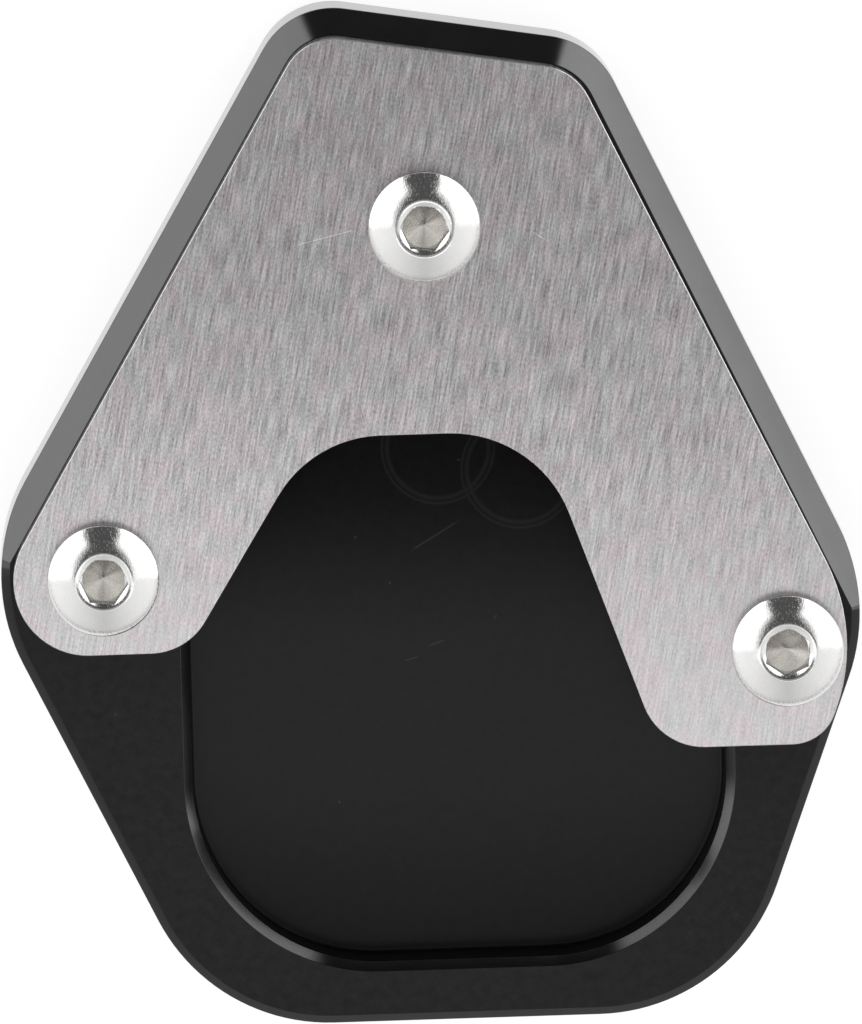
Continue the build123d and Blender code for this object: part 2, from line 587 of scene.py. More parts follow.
@dataclass(frozen=True)
class PolishedSteel:
    """Polished stainless screw, with the faint lines of tumbling and handling."""

    name: str
    reflectance: Colour = (0.78, 0.775, 0.765)
    roughness: float = 0.12
    scuffing: float = 0.2
    depth: float = 0.008
    grain_cell: tuple[float, float, float] = (0.1, 0.3, 0.3)
    smear: float = 1.4

    def material(self) -> bpy.types.Material:
        """Makes the node material.

        Returns:
            The material.
        """
        made, recipe = new_recipe(self.name)
        place = recipe.place()
        grain = recipe.noise(place, self.grain_cell, 2.0, 0.6)
        smear = recipe.noise(place, self.smear, 3.0, 0.6)
        scuffs = recipe.ease(grain, 0.52, 0.68)
        colour = recipe.blend(0.9 + 0.1 * smear, BLACK, self.reflectance)
        recipe.surface(
            {
                "Base Color": colour,
                "Metallic": 1.0,
                "Roughness": self.roughness + 0.1 * (smear - 0.5) + self.scuffing * scuffs,
                "Normal": recipe.bump(grain, self.depth),
            }
        )
        return made


# Modelling helpers


def rest() -> None:
    """Leaves Edit Mode and drops every selection."""
    if bpy.context.mode != "OBJECT":
        bpy.ops.object.mode_set(mode="OBJECT")
    bpy.ops.object.select_all(action="DESELECT")


def pick(piece: bpy.types.Object) -> None:
    """Makes a piece the only selected one, and the active one.

    Args:
        piece: The piece.
    """
    rest()
    piece.select_set(True)
    bpy.context.view_layer.objects.active = piece


@contextmanager
def editing(piece: bpy.types.Object, kind: str = "FACE") -> Iterator[None]:
    """Edit Mode on one piece, with nothing selected at first.

    Args:
        piece: The piece.
        kind: What is selected: VERT, EDGE or FACE.
    """
    pick(piece)
    bpy.ops.object.mode_set(mode="EDIT")
    bpy.ops.mesh.select_mode(type=kind)
    bpy.ops.mesh.select_all(action="DESELECT")
    yield
    bpy.ops.object.mode_set(mode="OBJECT")


def select_faces(piece: bpy.types.Object, rule: FaceRule) -> None:
    """Selects faces in Edit Mode.

    Args:
        piece: The piece that is edited.
        rule: Says yes or no from a face's middle, in millimetres, and its normal.
    """
    mesh = bmesh.from_edit_mesh(piece.data)
    mesh.normal_update()
    for face in mesh.faces:
        face.select_set(rule(face.calc_center_bounds() / MM, face.normal))
    mesh.select_flush_mode()
    bmesh.update_edit_mesh(piece.data)


def select_points(piece: bpy.types.Object, rule: Callable[[Vector], bool]) -> None:
    """Selects vertices in Edit Mode.

    Args:
        piece: The piece that is edited.
        rule: Says yes or no from a vertex's place, in millimetres.
    """
    mesh = bmesh.from_edit_mesh(piece.data)
    for point in mesh.verts:
        point.select_set(rule(point.co / MM))
    mesh.select_flush_mode()
    bmesh.update_edit_mesh(piece.data)


def apply_modifier(piece: bpy.types.Object, kind: str, **settings: Any) -> None:
    """Adds a modifier to a piece and applies it.

    Args:
        piece: The piece.
        kind: Blender's type name of the modifier.
        settings: Its properties.
    """
    pick(piece)
    modifier = piece.modifiers.new(kind.title(), kind)
    for name, value in settings.items():
        setattr(modifier, name, value)
    bpy.ops.object.modifier_apply(modifier=modifier.name)


def combine(piece: bpy.types.Object, tool: bpy.types.Object, operation: str) -> None:
    """Cuts a piece with a tool, joins them or keeps their overlap, and removes the tool.

    Args:
        piece: The piece.
        tool: The closed shape that acts on it.
        operation: DIFFERENCE, UNION or INTERSECT.
    """
    apply_modifier(piece, "BOOLEAN", object=tool, operation=operation, solver="EXACT")
    bpy.data.objects.remove(tool)


def place_applied(piece: bpy.types.Object) -> None:
    """Puts a piece's place, turn and size into its mesh."""
    pick(piece)
    bpy.ops.object.transform_apply(location=True, rotation=True, scale=True)


@dataclass(frozen=True)
class Corner:
    """Corner of an outline before it is rounded, and the radius of its rounding, in millimetres."""

    x: float
    y: float
    radius: float = 0.0

    @property
    def point(self) -> Vector:
        """The corner as a flat vector."""
        return Vector((self.x, self.y))


def grown(corners: Sequence[Corner], outward: float) -> list[Corner]:
    """Moves every side of a counter-clockwise outline outwards.

    Args:
        corners: The outline. All its corners turn the same way.
        outward: How far each side moves, in millimetres.

    Returns:
        The larger outline, in which the roundings keep their centres.
    """
    moved = []
    for index, here in enumerate(corners):
        into = (here.point - corners[index - 1].point).normalized()
        out = (corners[(index + 1) % len(corners)].point - here.point).normalized()
        shift = Vector((into.y + out.y, -into.x - out.x)) * (outward / (1 + into.dot(out)))
        moved.append(Corner(here.x + shift.x, here.y + shift.y, here.radius and here.radius + outward))
    return moved


def draw_outline(name: str, corners: Sequence[Corner], height: float) -> bpy.types.Object:
    """Draws an outline as one flat face: its straight runs are extruded and its corners spun.

    Args:
        name: Name of the new piece.
        corners: The outline, counter-clockwise.
        height: Height of the face in millimetres.

    Returns:
        The new piece.
    """
    rest()
    bpy.ops.mesh.primitive_plane_add(size=MM, location=(0, 0, height * MM))
    piece = bpy.context.active_object
    piece.name = piece.data.name = name
    place_applied(piece)
    pen = first = Vector((0.0, 0.0))
    with editing(piece, "VERT"):
        bpy.ops.mesh.select_all(action="SELECT")
        bpy.ops.mesh.merge(type="CENTER")
        for index, here in enumerate(corners):
            into = (here.point - corners[index - 1].point).normalized()
            out = (corners[(index + 1) % len(corners)].point - here.point).normalized()
            turn = atan2(into.cross(out), into.dot(out))
            reach = here.radius * tan(abs(turn) / 2)
            start = here.point - into * reach
            run = ((start.x - pen.x) * MM, (start.y - pen.y) * MM, 0)
            if index == 0:
                bpy.ops.transform.translate(value=run)
                first = start
            else:
                bpy.ops.mesh.extrude_region_move(TRANSFORM_OT_translate={"value": run})
            if reach:
                centre = start + Vector((-into.y, into.x)) * copysign(here.radius, turn)
                bpy.ops.mesh.spin(
                    steps=ceil(abs(turn) / ARC_STEP),
                    angle=-turn,
                    center=(centre.x * MM, centre.y * MM, height * MM),
                    axis=(0, 0, 1),
                )
            pen = here.point + out * reach
        run = ((first.x - pen.x) * MM, (first.y - pen.y) * MM, 0)
        bpy.ops.mesh.extrude_region_move(TRANSFORM_OT_translate={"value": run})
        bpy.ops.mesh.select_all(action="SELECT")
        bpy.ops.mesh.remove_doubles(threshold=WELD)
        bpy.ops.mesh.edge_face_add()
    return piece


def step_face(inward: float, up: float) -> None:
    """Moves the selected face and leaves a band of walls behind it.

    Args:
        inward: How far its sides move inwards, in millimetres.
        up: How far it rises, in millimetres.
    """
    if inward:
        bpy.ops.mesh.inset(thickness=inward * MM, use_even_offset=True)
        bpy.ops.transform.translate(value=(0, 0, up * MM))
    else:
        bpy.ops.mesh.extrude_region_move(TRANSFORM_OT_translate={"value": (0, 0, up * MM)})


def point_outwards() -> None:
    """Turns all normals of the edited piece outwards."""
    bpy.ops.mesh.select_all(action="SELECT")
    bpy.ops.mesh.normals_make_consistent(inside=False)


def turned_piece(
    rings: Sequence[tuple[float, float]], sides: int, centre: tuple[float, float] = (0.0, 0.0)
) -> bpy.types.Object:
    """Extrudes and resizes one circle, ring by ring, into a turned shape.

    Args:
        rings: Radius and height of each ring in millimetres, from one end to the other.
        sides: Number of sides of each ring.
        centre: Where the axis stands, in millimetres.

    Returns:
        The new piece, closed.
    """
    rest()
    axis = (centre[0] * MM, centre[1] * MM, 0)
    radius, height = rings[0]
    bpy.ops.mesh.primitive_circle_add(
        vertices=sides, radius=radius * MM, fill_type="NGON", location=(*axis[:2], height * MM)
    )
    piece = bpy.context.active_object
    place_applied(piece)
    with editing(piece):
        bpy.ops.mesh.select_all(action="SELECT")
        for next_radius, next_height in rings[1:]:
            step_face(0, next_height - height)
            ratio = next_radius / radius
            bpy.ops.transform.resize(value=(ratio, ratio, 1), center_override=axis)
            radius, height = next_radius, next_height
        point_outwards()
    return piece


def merged_copy(node: str, name: str) -> bpy.types.Object:
    """Copies a CAD node's mesh into a new piece and merges its loose triangles.

    Args:
        node: Name of the CAD node, which stays as it is.
        name: Name of the new piece.

    Returns:
        The new piece, with its flat faces whole again.
    """
    piece = bpy.data.objects.new(name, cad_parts[node].data.copy())
    piece.data.name = name
    piece.data.materials.clear()
    bpy.context.scene.collection.objects.link(piece)
    with editing(piece):
        bpy.ops.mesh.select_all(action="SELECT")
        bpy.ops.mesh.remove_doubles(threshold=WELD)
        bpy.ops.mesh.customdata_custom_splitnormals_clear()
        bpy.ops.mesh.dissolve_limited(angle_limit=radians(0.2))
        bpy.ops.mesh.normals_make_consistent(inside=False)
    return piece


def soften_edges(piece: bpy.types.Object, width: float, angle: float) -> None:
    """Rounds the sharp edges a little and shades the rest smoothly.

    Args:
        piece: The piece.
        width: Width of the rounding in millimetres.
        angle: Edges that turn by more than this, in degrees, are rounded.
    """
    apply_modifier(
        piece,
        "BEVEL",
        width=width * MM,
        segments=2,
        limit_method="ANGLE",
        angle_limit=radians(angle),
        use_clamp_overlap=True,
        miter_outer="MITER_ARC",
    )
    smooth(piece, angle)
    apply_modifier(piece, "WEIGHTED_NORMAL", mode="FACE_AREA", weight=100, keep_sharp=True)


def smooth(piece: bpy.types.Object, angle: float) -> None:
    """Shades a piece smoothly, apart from edges that turn by more than an angle in degrees."""
    pick(piece)
    bpy.ops.object.shade_smooth_by_angle(angle=radians(angle))


def dress(
    piece: bpy.types.Object,
    finishes: Sequence[bpy.types.Material],
    which: Callable[[Vector, Vector], int],
) -> None:
    """Gives each face of a piece its material.

    Args:
        piece: The piece.
        finishes: Its materials.
        which: The index of a face's material, from the face's middle in millimetres and its normal.
    """
    piece.data.materials.clear()
    for material in finishes:
        piece.data.materials.append(material)
    with editing(piece):
        for index in range(len(finishes)):
            bpy.ops.mesh.select_all(action="DESELECT")
            select_faces(piece, lambda middle, normal: which(middle, normal) == index)
            piece.active_material_index = index
            bpy.ops.object.material_slot_assign()


def declare(piece: bpy.types.Object, slot: str, *nodes: str) -> None:
    """Enters a finished piece in the frame.

    Args:
        piece: The piece.
        slot: Not used.
        nodes: The CAD nodes that it stands for.
    """
    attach(piece, BODY)
    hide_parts(*nodes)
    log.info("%s: %d faces, stands for %s", piece.name, len(piece.data.polygons), ", ".join(nodes))


# The pieces


class BaseFace(Enum):
    """Kinds of face on the base plate, in the order of its materials."""

    TOP = 0
    WIDE_CHAMFER = 1
    NARROW_CHAMFER = 2
    SIDE = 3
    RIM = 4
    WALL = 5
    FLOOR = 6
    BORE = 7


@dataclass
class BasePlate:
    """The milled base plate with the pocket for the foot."""

    thickness: float = 10.0
    top_left: Corner = Corner(-13.7, 62.1, 7.5)
    left: Corner = Corner(-44.7, 9.5, 18.0)
    bottom_left: Corner = Corner(-23.7, -33.9, 18.0)
    bottom_right: Corner = Corner(25.0, -33.9, 18.0)
    right: Corner = Corner(39.4, 4.3, 18.0)
    top_right: Corner = Corner(14.6, 57.4, 8.0)
    wide_chamfer: float = 2.35
    narrow_chamfer: float = 0.8
    ground_chamfer: float = 0.5
    run_out: float = 18.0
    pocket_half_width: float = 24.9
    pocket_half_length: float = 28.2
    pocket_corner_radius: float = 17.0
    floor_height: float = 2.5
    rim_chamfer: float = 0.9
    floor_fillet: float = 0.3
    fillet_steps: int = 5
    bore_radius: float = 3.0
    bore_chamfer: float = 0.5
    bore_sides: int = 64
    hole_centres: Sequence[tuple[float, float]] = ((-1.88, 41.18), (-32.80, 9.01), (30.86, 0.36))
    overcut: float = 0.3
    merge_reach: float = 0.01
    wide_from: float = 0.2
    level_normal: float = 0.97
    upright_normal: float = 0.3
    edge_softness: float = 0.07
    edge_angle: float = 22.0

    def block(self) -> bpy.types.Object:
        """Raises the whole outline to the plate's height, with its narrow chamfers.

        Returns:
            The block, closed.
        """
        left_side = (self.top_left, self.left, self.bottom_left)
        right_side = (self.bottom_right, self.right, self.top_right)
        block = draw_outline("milled_base_plate", left_side + right_side, self.ground_chamfer)
        with editing(block):
            bpy.ops.mesh.select_all(action="SELECT")
            step_face(0, self.thickness - self.narrow_chamfer - self.ground_chamfer)
            step_face(self.narrow_chamfer, self.narrow_chamfer)
            select_faces(
                block,
                lambda middle, normal: abs(normal.z) > self.level_normal and middle.z < self.thickness / 2,
            )
            step_face(self.ground_chamfer, -self.ground_chamfer)
            point_outwards()
        return block

    def wide_slopes(self) -> bpy.types.Object:
        """Makes the frustum whose walls are the wide chamfers: its lower corners lie far outside the plate.

        Returns:
            The frustum, closed, from below the plate to above it.
        """
        low = self.bottom_left.y - self.run_out
        corners = [self.top_left, self.run_on(self.top_left, self.left, low)]
        corners += [self.run_on(self.top_right, self.right, low), self.top_right]
        foot = self.thickness - self.wide_chamfer
        slopes = draw_outline("wide_slopes", grown(corners, foot + self.overcut), -2 * self.overcut)
        with editing(slopes):
            bpy.ops.mesh.select_all(action="SELECT")
            step_face(0, self.overcut)
            rise = self.thickness + 2 * self.overcut
            step_face(rise, rise)
            point_outwards()
        return slopes

    @staticmethod
    def run_on(start: Corner, through: Corner, y: float) -> Corner:
        """Where a side that runs from one corner through another reaches a Y."""
        share = (y - start.y) / (through.y - start.y)
        return Corner(start.x + (through.x - start.x) * share, y)

    def pocket(self) -> bpy.types.Object:
        """Makes the pocket's shape: the rim chamfer, the straight wall and the fillet above the floor.

        Returns:
            The shape, closed, from above the plate down to the floor.
        """
        across, along = self.pocket_half_width, self.pocket_half_length
        signs = ((1, 1), (-1, 1), (-1, -1), (1, -1))
        corners = [Corner(x * across, y * along, self.pocket_corner_radius) for x, y in signs]
        rim = self.rim_chamfer + self.overcut
        pocket = draw_outline("pocket", grown(corners, rim), self.thickness + 2 * self.overcut)
        fillet = self.floor_fillet
        with editing(pocket):
            bpy.ops.mesh.select_all(action="SELECT")
            step_face(0, -self.overcut)
            step_face(rim, -rim)
            step_face(0, fillet + self.floor_height + self.rim_chamfer - self.thickness)
            for step in range(self.fillet_steps):
                low, high = (radians(90 * (step + more) / self.fillet_steps) for more in (0, 1))
                step_face(fillet * (cos(low) - cos(high)), fillet * (sin(low) - sin(high)))
            point_outwards()
        return pocket

    def bore(self, centre: tuple[float, float]) -> bpy.types.Object:
        """Makes the shape of one screw hole, with the chamfers of its two mouths.

        Args:
            centre: Middle of the hole, in millimetres.

        Returns:
            The shape, closed.
        """
        wide = self.bore_radius + self.bore_chamfer + self.overcut
        rings = [(wide, -self.overcut), (self.bore_radius, self.bore_chamfer)]
        rings += [(radius, self.thickness - height) for radius, height in reversed(rings)]
        return turned_piece(rings, self.bore_sides, centre)

    def kind(self, middle: Vector, normal: Vector) -> BaseFace:
        """Which kind of face lies at a place.

        Args:
            middle: Middle of the face in millimetres.
            normal: Its normal.

        Returns:
            The kind.
        """
        reach = self.bore_radius + self.bore_chamfer + 0.2
        near_hole = any((middle.xy - Vector(centre)).length < reach for centre in self.hole_centres)
        if near_hole and abs(normal.z) < self.level_normal:
            return BaseFace.BORE
        in_pocket = (
            abs(middle.x) < self.pocket_half_width + self.rim_chamfer
            and abs(middle.y) < self.pocket_half_length + self.rim_chamfer
            and middle.z > self.floor_height - 0.1
            and middle.xy.dot(normal.xy) < 0
        )
        if in_pocket and normal.z < self.level_normal:
            return BaseFace.RIM if middle.z > self.thickness - self.rim_chamfer - 0.1 else BaseFace.WALL
        if normal.z > self.level_normal:
            return BaseFace.FLOOR if middle.z < self.thickness / 2 else BaseFace.TOP
        if normal.z < self.upright_normal:
            return BaseFace.SIDE if normal.z > -self.level_normal else BaseFace.TOP
        return BaseFace.WIDE_CHAMFER if normal.y > self.wide_from else BaseFace.NARROW_CHAMFER

    def build(self) -> bpy.types.Object:
        """Makes the piece and enters it in the frame.

        Returns:
            The finished base plate.
        """
        piece = self.block()
        combine(piece, self.wide_slopes(), "INTERSECT")
        combine(piece, self.pocket(), "DIFFERENCE")
        for centre in self.hole_centres:
            combine(piece, self.bore(centre), "DIFFERENCE")
        with editing(piece):
            bpy.ops.mesh.select_all(action="SELECT")
            bpy.ops.mesh.remove_doubles(threshold=self.merge_reach * MM)
            bpy.ops.mesh.dissolve_limited(angle_limit=radians(0.2))
            point_outwards()
        # One black anodised finish in a copy per kind of face. The lay and roughness follow how each face
        # was cut; the tone and gloss of each copy are set to how light or dark that face looks under this
        # light, which paints light and shade into them.
        finishes = {
            BaseFace.TOP: BlackAnodising(
                "anodised_top", Lay.ACROSS, tone=0.0108, roughness=0.45, gloss=1.27
            ),
            BaseFace.WIDE_CHAMFER: BlackAnodising(
                "anodised_wide_chamfer", Lay.LEVEL, roughness=0.14, gloss=1.55
            ),
            BaseFace.NARROW_CHAMFER: BlackAnodising(
                "anodised_narrow_chamfer", Lay.LEVEL, roughness=0.16, gloss=1.36
            ),
            BaseFace.SIDE: BlackAnodising("anodised_side", Lay.UPRIGHT, roughness=0.07, gloss=2.2),
            BaseFace.RIM: BlackAnodising(
                "anodised_pocket_rim", Lay.LEVEL, tone=0.002, roughness=0.15, gloss=1.45
            ),
            BaseFace.WALL: BlackAnodising("anodised_pocket_wall", Lay.UPRIGHT, roughness=0.3, gloss=1.18),
            BaseFace.FLOOR: PocketAnodising(
                "anodised_pocket_floor", tone=0.005, roughness=0.42, gloss=1.15
            ),
            BaseFace.BORE: BlackAnodising("anodised_bore", Lay.LEVEL, lay_width=0.5, lay_depth=0.02),
        }
        dress(
            piece,
            [finishes[kind].material() for kind in BaseFace],
            lambda middle, normal: self.kind(middle, normal).value,
        )
        soften_edges(piece, self.edge_softness, self.edge_angle)
        declare(piece, "black_anodised", "base_plate")
        return piece


class PlateFace(Enum):
    """Kinds of face on the clamp plate, in the order of its materials."""

    BRUSHED = 0
    CUT = 1
    DEBURRED = 2


@dataclass
class ClampPlate:
    """The brushed plate that the screws hold over the pocket's upper part."""

    edge_softness: float = 0.015
    edge_angle: float = 22.0
    level_normal: float = 0.95
    upright_normal: float = 0.3

    def kind(self, normal: Vector) -> PlateFace:
        """Which kind of face has a normal.

        Args:
            normal: The normal.

        Returns:
            The kind.
        """
        if abs(normal.z) > self.level_normal:
            return PlateFace.BRUSHED
        return PlateFace.CUT if abs(normal.z) < self.upright_normal else PlateFace.DEBURRED

    def build(self) -> bpy.types.Object:
        """Makes the piece and enters it in the frame.

        Returns:
            The finished clamp plate.
        """
        piece = merged_copy("clamp_plate", "brushed_clamp_plate")
        finishes = [
            BrushedSteel("brushed_steel").material(),
            CutSteel("cut_steel_edge", Lay.UPRIGHT, roughness=0.2).material(),
            # Painted shade: the deburred edge's steel is darker than the cut edge's, to dull the bright
            # line along the plate's edges.
            CutSteel(
                "deburred_steel_edge", Lay.NONE, reflectance=0.45, roughness=0.25, depth=0.002
            ).material(),
        ]
        dress(piece, finishes, lambda _, normal: self.kind(normal).value)
        soften_edges(piece, self.edge_softness, self.edge_angle)
        declare(piece, "brushed_plate", "clamp_plate")
        return piece


@dataclass(frozen=True)
class ScrewPlace:
    """Where one screw stands and how far its socket is turned, in millimetres and degrees."""

    name: str
    centre: tuple[float, float]
    turn: float


@dataclass
class ClampScrews:
    """The three button head screws: one is modelled, then copied to its places."""

    seat_height: float = 13.0
    head_radius: float = 5.25
    head_height: float = 3.3
    rim_fillet: float = 0.4
    bearing_fillet: float = 0.1
    crown_radius: float = 7.33
    mouth_radius: float = 2.65
    mouth_break: float = 0.04
    lip_width: float = 0.33
    lip_angle: float = 20.0
    cone_width: float = 0.51
    cone_angle: float = 38.0
    socket_width: float = 4.0
    socket_depth: float = 2.4
    socket_break: float = 0.05
    pit_angle: float = 31.0
    drill_tip: float = 0.04
    shank_length: float = 12.0
    neck_length: float = 1.0
    neck_radius: float = 2.5
    crest_radius: float = 2.95
    root_radius: float = 2.36
    pitch: float = 1.0
    crest_flat: float = 0.125
    root_flat: float = 0.25
    point_chamfer: float = 0.8
    sides: int = 128
    socket_sides: int = 64
    thread_steps: int = 48
    off_grid: float = 0.0043
    merge_reach: float = 0.003
    places: Sequence[ScrewPlace] = (
        ScrewPlace("top", (-1.88, 41.18), -6.7),
        ScrewPlace("left", (-32.80, 9.01), -5.7),
        ScrewPlace("right", (30.86, 0.36), 24.8),
    )
    dome_rings: int = 20
    fillet_rings: int = 4
    made: list[bpy.types.Object] = field(default_factory=list)

    def head_profile(self) -> list[tuple[float, float]]:
        """Radius and height of each ring of the head, from the neck's end up and into the socket's mouth.

        Returns:
            The rings in millimetres, with the bearing face at height 0.
        """
        crown_centre = self.head_height - sqrt(self.crown_radius**2 - self.mouth_radius**2)
        rings = [(self.neck_radius, -self.neck_length - 0.4), (self.neck_radius, 0.0)]
        rings += self.arc(
            self.head_radius - self.bearing_fillet, self.bearing_fillet, self.bearing_fillet, -90, 0
        )
        fillet_centre = self.head_radius - self.rim_fillet
        reach = self.crown_radius - self.rim_fillet
        fillet_height = crown_centre + sqrt(reach**2 - fillet_centre**2)
        low = atan2(fillet_height - crown_centre, fillet_centre)
        rings += self.arc(fillet_centre, fillet_height, self.rim_fillet, 0, low * 180 / pi)
        high = atan2(self.head_height - crown_centre, self.mouth_radius)
        high -= self.mouth_break / self.crown_radius
        for step in range(1, self.dome_rings + 1):
            turn = low + (high - low) * step / self.dome_rings
            rings.append((self.crown_radius * cos(turn), crown_centre + self.crown_radius * sin(turn)))
        height = self.head_height
        radius = self.mouth_radius
        for width, angle in ((self.lip_width, self.lip_angle), (self.cone_width, self.cone_angle)):
            for share in (self.mouth_break / width, 1 - self.mouth_break / width):
                rings.append((radius - width * share, height - width * share * tan(radians(angle))))
            radius, height = radius - width, height - width * tan(radians(angle))
        return rings

    def arc(
        self, across: float, up: float, radius: float, first: float, last: float
    ) -> list[tuple[float, float]]:
        """Rings along a fillet.

        Args:
            across: Distance of the fillet's centre from the axis.
            up: Height of its centre.
            radius: Its radius.
            first: First angle in degrees, from straight outwards up.
            last: Last angle.

        Returns:
            The rings' radii and heights.
        """
        steps = self.fillet_rings
        turns = [radians(first + (last - first) * step / steps) for step in range(steps + 1)]
        return [(across + radius * cos(turn), up + radius * sin(turn)) for turn in turns]

    def cut_socket(self, head: bpy.types.Object) -> None:
        """Broaches the hexagon and drills the conical pit below it.

        Args:
            head: The turned head.
        """
        bottom = self.head_height - self.socket_depth
        length = self.socket_depth + 0.6
        bpy.ops.mesh.primitive_cylinder_add(
            vertices=6,
            radius=self.socket_width / sqrt(3) * MM,
            depth=length * MM,
            location=(0, 0, (bottom + length / 2) * MM),
            rotation=(0, 0, radians(30)),
        )
        broach = bpy.context.active_object
        place_applied(broach)
        combine(head, broach, "DIFFERENCE")

        radius = self.socket_width / 2 - 0.02
        point = (radius - self.drill_tip) * tan(radians(self.pit_angle))
        rings = [(self.drill_tip, bottom - point - 0.02), (radius, bottom - 0.02), (radius, bottom + 0.3)]
        combine(head, turned_piece(rings, self.socket_sides), "DIFFERENCE")

    def threaded_rod(self) -> bpy.types.Object:
        """Sweeps one pitch of the thread's profile up a helix, and trims the rod to its length.

        The profile starts as one upright line of five equal parts. Its points at 0.3 and at 0.1 of a pitch
        from the middle become the corners of the root and of the crest.

        Returns:
            The rod, closed, with a chamfered point.
        """
        top = -self.neck_length
        turns = round(self.shank_length / self.pitch) + 3
        middle = -(self.shank_length + 1.5)
        bpy.ops.mesh.primitive_plane_add(
            size=self.pitch * MM,
            location=((self.root_radius + self.pitch / 2) * MM, 0, middle * MM),
            rotation=(pi / 2, 0, 0),
        )
        rod = bpy.context.active_object
        place_applied(rod)
        centre = (self.root_radius * MM, 0, middle * MM)
        with editing(rod, "VERT"):
            select_points(rod, lambda point: point.x > self.root_radius + self.pitch / 2)
            bpy.ops.mesh.delete(type="VERT")
            bpy.ops.mesh.select_all(action="SELECT")
            bpy.ops.mesh.subdivide(number_cuts=4)
            for old, new in ((0.3, (1 - self.root_flat) / 2), (0.1, self.crest_flat / 2)):
                select_points(rod, lambda point: abs(abs(point.z - middle) / self.pitch - old) < 0.05)
                bpy.ops.transform.resize(value=(1, 1, new / old), center_override=centre)
            bpy.ops.transform.translate(value=((self.crest_radius - self.root_radius) * MM, 0, 0))
        apply_modifier(
            rod,
            "SCREW",
            axis="Z",
            angle=2 * pi,
            screw_offset=self.pitch * MM,
            iterations=turns,
            steps=self.thread_steps,
            render_steps=self.thread_steps,
        )
        with editing(rod):
            bpy.ops.mesh.select_all(action="SELECT")
            bpy.ops.mesh.remove_doubles(threshold=WELD * 2)
            for height, way in ((top, 1), (-self.shank_length - 0.3, -1)):
                bpy.ops.mesh.select_all(action="SELECT")
                bpy.ops.mesh.bisect(
                    plane_co=(0, 0, (height + self.off_grid) * MM),
                    plane_no=(0, 0, way),
                    use_fill=True,
                    clear_outer=True,
                    threshold=WELD / 10,
                )
            point_outwards()
        combine(rod, self.rod_blank(), "INTERSECT")
        return rod

    def rod_blank(self) -> bpy.types.Object:
        """Turns the blank that limits the thread.

        Returns:
            The blank, closed, with a chamfered end.
        """
        radius = self.crest_radius + 0.02
        end = -self.shank_length
        rings = [(radius - self.point_chamfer, end), (radius, end + self.point_chamfer), (radius, 0.5)]
        return turned_piece(rings, self.sides)

    def build(self) -> list[bpy.types.Object]:
        """Models one screw, copies it to its places and enters the copies in the frame.

        Returns:
            The three finished screws.
        """
        finishes = [
            PolishedSteel("polished_screw_head").material(),
            # Painted light: the socket's steel is a little lighter than the head's, against the shade
            # inside the recess; its rougher finish with less grain is the broach's.
            PolishedSteel(
                "screw_socket", (0.8, 0.785, 0.76), roughness=0.22, scuffing=0.05, depth=0.0015
            ).material(),
            CutSteel("rolled_screw_thread", Lay.NONE, roughness=0.3).material(),
        ]
        pattern = turned_piece(self.head_profile(), self.sides)
        self.cut_socket(pattern)
        apply_modifier(
            pattern,
            "BEVEL",
            width=self.socket_break * MM,
            segments=2,
            limit_method="ANGLE",
            angle_limit=radians(35),
        )
        combine(pattern, self.threaded_rod(), "UNION")
        with editing(pattern):
            bpy.ops.mesh.select_all(action="SELECT")
            bpy.ops.mesh.remove_doubles(threshold=self.merge_reach * MM)
        dress(pattern, finishes, self.finish_at)
        smooth(pattern, 30)
        apply_modifier(pattern, "WEIGHTED_NORMAL", mode="FACE_AREA", weight=100, keep_sharp=True)
        for place in self.places:
            pick(pattern)
            bpy.ops.object.duplicate(linked=False)
            screw = bpy.context.active_object
            screw.name = screw.data.name = f"polished_screw_{place.name}"
            screw.rotation_euler = (0, 0, radians(place.turn))
            screw.location = (place.centre[0] * MM, place.centre[1] * MM, self.seat_height * MM)
            place_applied(screw)
            declare(screw, "polished_screws", f"clamp_screw_{place.name}")
            self.made.append(screw)
        bpy.data.objects.remove(pattern)
        return self.made

    def finish_at(self, middle: Vector, normal: Vector) -> int:
        """Index of the material at a place: head, socket or thread.

        Args:
            middle: Middle of the face in millimetres.
            normal: Its normal.

        Returns:
            The material's index.
        """
        if middle.z < -0.02:
            return 2 if middle.xy.length > 1.9 or normal.z < 0 else 1
        deep = middle.z < self.head_height - 0.3
        return 1 if deep and middle.xy.length < self.socket_width / sqrt(3) - 0.1 else 0


# Floor, light and camera


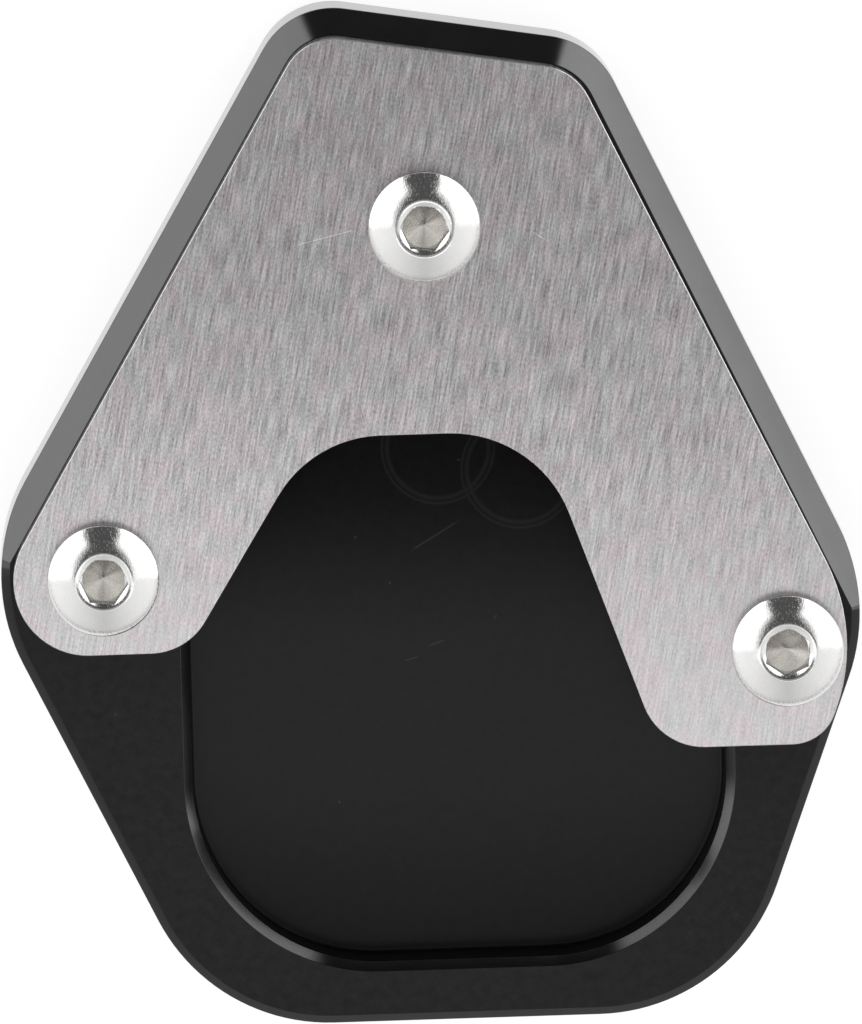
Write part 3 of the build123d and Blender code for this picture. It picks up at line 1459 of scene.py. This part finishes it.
@dataclass
class Studio:
    """Plain pale floor, soft light from all round and a camera above the object."""

    floor_radius: float = 1400.0
    floor_drop: float = 4.0
    floor_tone: Colour = (0.3, 0.3, 0.3)
    floor_glow: float = 0.82
    floor_cloud: float = 300.0
    camera_distance: float = 3000.0
    camera_lean: tuple[float, float] = (-0.020, 0.109)
    camera_roll: float = 1.7
    camera_aim: tuple[float, float, float] = (-1.965, 13.98, 10.0)
    view_height: float = 95.70
    sensor: float = 36.0
    ceiling: float = 0.415
    gap: float = 0.09
    gap_reach: float = 0.4
    far_wall: float = 1.7
    foot_left: float = 2.3
    foot_right: float = 3.2
    near_wall: float = 0.7
    near_side: float = 0.5
    near_dimming: float = 0.55
    low_band: tuple[float, float] = (0.32, 0.0)
    foot_band: tuple[float, float] = (-0.2, 0.2)
    gap_band: tuple[float, float] = (-0.05, 0.06)
    gap_top: tuple[float, float] = (0.7, 0.5)
    gap_tilt: float = 0.22
    near_band: tuple[float, float] = (0.1, 0.0)
    far_band: tuple[float, float] = (-0.1, 0.08)
    ceiling_band: tuple[float, float] = (0.84, 0.93)
    backdrop: float = 0.95

    def camera(self) -> bpy.types.Object:
        """Sets up the camera at the photograph's viewing angle.

        Returns:
            The camera.
        """
        data = bpy.data.cameras.new("camera")
        data.sensor_width = self.sensor
        data.lens = self.sensor * self.camera_distance / self.view_height
        data.clip_start, data.clip_end = 0.1, 20.0
        back = Vector((*self.camera_lean, 1)).normalized()
        up = Vector((sin(radians(self.camera_roll)), cos(radians(self.camera_roll)), 0))
        right = up.cross(back).normalized()
        camera = bpy.data.objects.new("camera", data)
        camera.matrix_world = Matrix.Translation(
            Vector(self.camera_aim) * MM + back * self.camera_distance * MM
        ) @ Matrix((right, back.cross(right), back)).transposed().to_4x4()
        bpy.context.scene.collection.objects.link(camera)
        bpy.context.scene.camera = camera
        return camera

    def floor(self) -> bpy.types.Object:
        """Makes the round floor board with its pale matt finish.

        Returns:
            The floor, whose top is at height 0.
        """
        rest()
        bpy.ops.mesh.primitive_circle_add(vertices=96, radius=self.floor_radius * MM, fill_type="NGON")
        floor = bpy.context.active_object
        floor.name = "floor"
        with editing(floor):
            bpy.ops.mesh.select_all(action="SELECT")
            step_face(0, -self.floor_drop)
            point_outwards()
        made, recipe = new_recipe("pale_floor")
        cloud = recipe.noise(recipe.place(), self.floor_cloud, 2.0, 0.5)
        recipe.surface(
            {
                "Base Color": recipe.blend(0.98 + 0.04 * cloud, BLACK, self.floor_tone),
                "Roughness": 0.8,
                "Emission Color": (1.0, 1.0, 1.0, 1.0),
                "Emission Strength": self.floor_glow,
            }
        )
        floor.data.materials.append(made)
        return floor

    def surroundings(self) -> None:
        """Paints the light that comes from each direction.

        The side walls are white and lighter at their foot. A dark gap parts them at the far side, the near
        wall is dimmer, and so is the ceiling. The bands are heights or bearings of a unit direction between
        which one light passes into the next.
        """
        world = bpy.data.worlds.new("studio")
        world.use_nodes = True
        bpy.context.scene.world = world
        recipe = Recipe(world.node_tree)
        direction = recipe.node("ShaderNodeTexCoord", output="Generated")
        x, y, z = recipe.parts(direction)
        side = abs(x)
        foot = self.foot_left + (self.foot_right - self.foot_left) * recipe.ease(x, *self.foot_band)
        wall = self.far_wall + foot * recipe.ease(z, *self.low_band)
        bearing = side / (x * x + y * y) ** 0.5
        lit = recipe.ease(bearing, *(self.gap_reach + edge for edge in self.gap_band))
        lit = lit * recipe.ease(z - self.gap_tilt * (bearing - 0.5), *self.gap_top)
        far = self.gap + (wall - self.gap) * lit
        near = self.near_wall + self.near_side * side
        near = near * (1.0 - self.near_dimming * recipe.ease(z, *self.near_band))
        walls = near + (far - near) * recipe.ease(y, *self.far_band)
        light = walls + (self.ceiling - walls) * recipe.ease(z, *self.ceiling_band)
        seen = recipe.node("ShaderNodeLightPath", output="Is Camera Ray")
        light = light + (self.backdrop - light) * seen
        shader = recipe.node("ShaderNodeBackground", sockets={"Color": (1, 1, 1, 1), "Strength": light})
        recipe.node("ShaderNodeOutputWorld", sockets={"Surface": shader})

    @staticmethod
    def lamp(
        name: str,
        place: tuple[float, float, float],
        size: tuple[float, float],
        turn: float,
        power: float,
    ) -> bpy.types.Object:
        """Adds one soft box that faces down, unseen by the camera.

        Args:
            name: Its name.
            place: Its middle in millimetres.
            size: Its width and length in millimetres.
            turn: Its turn about the upright axis, in degrees.
            power: Its power in watts.

        Returns:
            The light.
        """
        data = bpy.data.lights.new(name, "AREA")
        data.shape = "RECTANGLE"
        data.size, data.size_y = size[0] * MM, size[1] * MM
        data.energy = power
        lamp = bpy.data.objects.new(name, data)
        lamp.location = Vector(place) * MM
        lamp.rotation_euler = (0, 0, radians(turn))
        lamp.visible_camera = False
        bpy.context.scene.collection.objects.link(lamp)
        return lamp

    def build(self) -> None:
        """Sets up the whole studio."""
        self.camera()
        self.surroundings()
        self.floor()
        self.lamp("near_softbox", (-8, -31, 160), (190, 58), -8, 0.0315)
        bpy.context.scene.view_settings.view_transform = "Standard"


def main() -> None:
    """Builds the studio and the pieces, in order."""
    logging.basicConfig(level=logging.INFO, format="%(name)s: %(message)s")
    Studio().build()
    BasePlate().build()
    ClampPlate().build()
    ClampScrews().build()
    rest()


if __name__ == "__main__":
    main()
